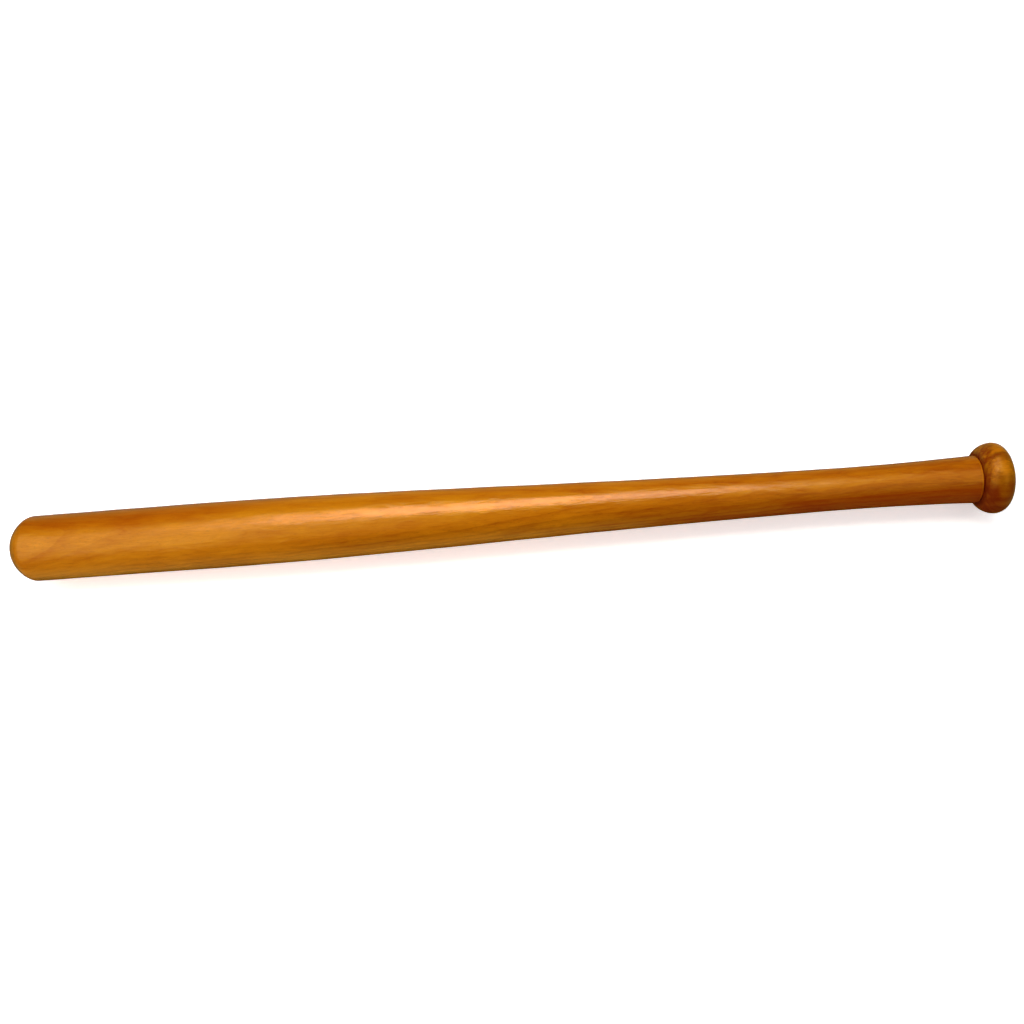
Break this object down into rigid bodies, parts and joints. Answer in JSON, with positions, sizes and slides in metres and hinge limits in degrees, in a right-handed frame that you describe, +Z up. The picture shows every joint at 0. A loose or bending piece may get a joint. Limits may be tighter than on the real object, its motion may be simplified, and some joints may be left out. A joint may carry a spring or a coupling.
{
  "type": "baseball bat",
  "caption": "Solid turned wooden baseball bat: long round barrel with a domed end, tapering to a slim handle that flares to a separate bun knob, amber varnish.",
  "frame": {"origin": "under the middle of the bat's length, on the plane that the barrel and the knob lie on", "axes": "+X along the bat's axis from the barrel end to the knob end, +Z up; the axis is 27.5 mm above the origin"},
  "size_m": [0.805, 0.055, 0.055],
  "materials": {
    "varnished_beech": "satin-gloss amber varnish over beech with fine lengthwise grain and short ray flecks",
    "varnished_beech_knob": "satin-gloss amber varnish, a little darker and redder than the barrel",
    "raw_beech": "bare fluted beech dowel"
  },
  "bodies": {
    "root": {"barrel_and_handle": "varnished_beech", "knob": "varnished_beech_knob", "dowel_pin": "raw_beech"}
  },
  "joints": []
}
